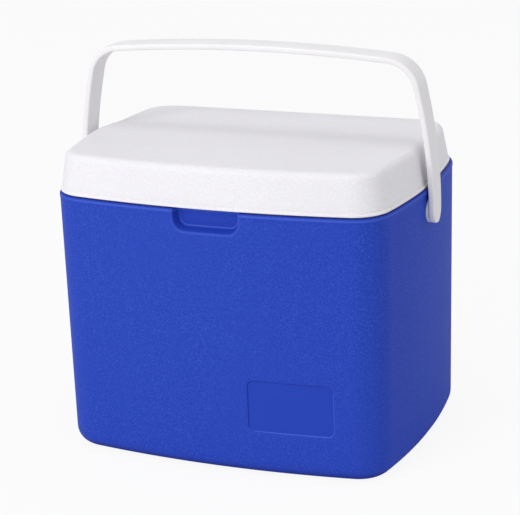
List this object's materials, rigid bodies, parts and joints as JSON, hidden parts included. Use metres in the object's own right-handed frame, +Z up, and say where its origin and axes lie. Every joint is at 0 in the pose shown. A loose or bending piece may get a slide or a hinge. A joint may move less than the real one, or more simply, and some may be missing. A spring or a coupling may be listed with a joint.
{
  "type": "vaccine carrier",
  "caption": "Insulated carrying box with bowed blue sides, a stepped white lift-off lid and a swinging bail handle, with coolant packs round its vaccine space.",
  "frame": {"origin": "on the ground under the middle of the box's width and depth", "axes": "+Z up, front face towards -Y, +X to the right as seen from the front"},
  "size_m": [0.3548, 0.2679, 0.3761],
  "materials": {
    "blue_shell": "blow or rotationally moulded polyethylene with a fine leather grain, satin",
    "blue_plug": "injection-moulded polyethylene, satin",
    "white_lid": "polyethylene with a fine leather grain, satin",
    "white_handle": "smooth polypropylene, semi-gloss",
    "white_bush": "injection-moulded polypropylene",
    "white_liner": "smooth food-grade polyethylene",
    "insulation": "rigid polyurethane foam",
    "gasket": "soft closed-cell seal",
    "pad_foam": "open-cell foam",
    "pack_plastic": "translucent blow-moulded polyethylene",
    "cap_plastic": "injection-moulded polypropylene"
  },
  "bodies": {
    "carrier_body": {"outer_shell": "blue_shell", "body_insulation": "insulation", "inner_liner": "white_liner", "base_fill_plug": "blue_plug", "pivot_bush_left": "white_bush", "pivot_bush_right": "white_bush", "ice_pack_front_left": "pack_plastic", "ice_pack_front_right": "pack_plastic", "ice_pack_rear_left": "pack_plastic", "ice_pack_rear_right": "pack_plastic", "ice_pack_left": "pack_plastic", "ice_pack_right": "pack_plastic", "ice_pack_cap_front_left": "cap_plastic", "ice_pack_cap_front_right": "cap_plastic", "ice_pack_cap_rear_left": "cap_plastic", "ice_pack_cap_rear_right": "cap_plastic", "ice_pack_cap_left": "cap_plastic", "ice_pack_cap_right": "cap_plastic"},
    "lid": {"lid_cover": "white_lid", "lid_insulation": "insulation", "lid_liner": "white_liner", "lid_gasket": "gasket", "lid_fill_plug": "white_bush", "foam_pad": "pad_foam"},
    "bail": {"handle": "white_handle"}
  },
  "joints": [
    {"name": "handle_swing", "type": "hinge", "parent": "carrier_body", "child": "bail", "pos_m": [0, -0.008, 0.229], "axis": [1, 0, 0], "range_deg": [-30, 110]},
    {"name": "lid_lift", "type": "slide", "parent": "carrier_body", "child": "lid", "axis": [0, 0, 1], "range_m": [0, 0.022]}
  ]
}
